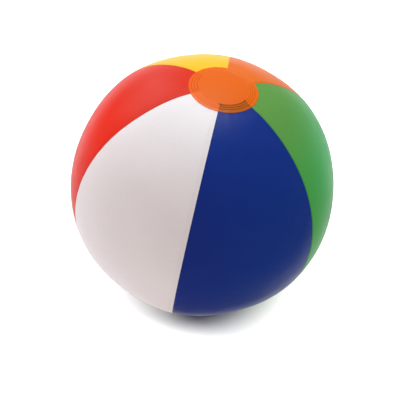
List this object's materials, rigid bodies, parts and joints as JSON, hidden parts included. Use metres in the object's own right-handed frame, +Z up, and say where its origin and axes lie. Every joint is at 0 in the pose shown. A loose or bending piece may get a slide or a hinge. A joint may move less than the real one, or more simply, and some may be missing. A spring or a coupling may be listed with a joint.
{
  "type": "inflatable beach ball",
  "caption": "Inflated beach ball of coloured plastic film panels welded pole to pole, with a translucent disc over each pole and a push-in valve with a tethered stopper.",
  "frame": {"origin": "middle of the lower end disc's flat underside, which the ball stands on", "axes": "+Z up along the ball's polar axis, from the lower end disc to the upper one; -Y lies at the seam between the white and the blue panel, and +X through the green panel"},
  "size_m": [0.2796, 0.2834, 0.2726],
  "materials": {
    "film_blue": "glossy soft film",
    "film_green": "glossy soft film",
    "film_orange": "glossy soft film",
    "film_yellow": "glossy soft film",
    "film_red": "glossy soft film",
    "film_white": "glossy soft film",
    "disc_orange": "glossy translucent film",
    "valve_vinyl": "satin soft vinyl"
  },
  "bodies": {
    "ball": {"gore_blue": "film_blue", "gore_green": "film_green", "gore_orange": "film_orange", "gore_yellow": "film_yellow", "gore_red": "film_red", "gore_white": "film_white", "end_disc_top": "disc_orange", "end_disc_bottom": "disc_orange", "valve_flange": "valve_vinyl", "valve_diaphragm": "valve_vinyl"},
    "stem": {"valve_stem": "valve_vinyl", "stopper_strap": "valve_vinyl"},
    "stopper": {"stopper": "valve_vinyl"},
    "flap": {"check_flap": "valve_vinyl"}
  },
  "joints": [
    {"name": "valve_slide", "type": "slide", "parent": "ball", "child": "stem", "axis": [-0.4975, 0.828, -0.2588], "range_m": [0, 0.011], "deforming": ["valve_diaphragm"]},
    {"name": "stopper_pull", "type": "slide", "parent": "stem", "child": "stopper", "axis": [-0.4975, 0.828, -0.2588], "range_m": [0, 0.009], "deforming": ["stopper_strap"]},
    {"name": "flap_swing", "type": "hinge", "parent": "stem", "child": "flap", "pos_m": [-0.06811, 0.10364, 0.1018], "axis": [0.1333, -0.2219, -0.9659], "range_deg": [0, 60], "stiffness_Nm_per_rad": 0.0001}
  ]
}
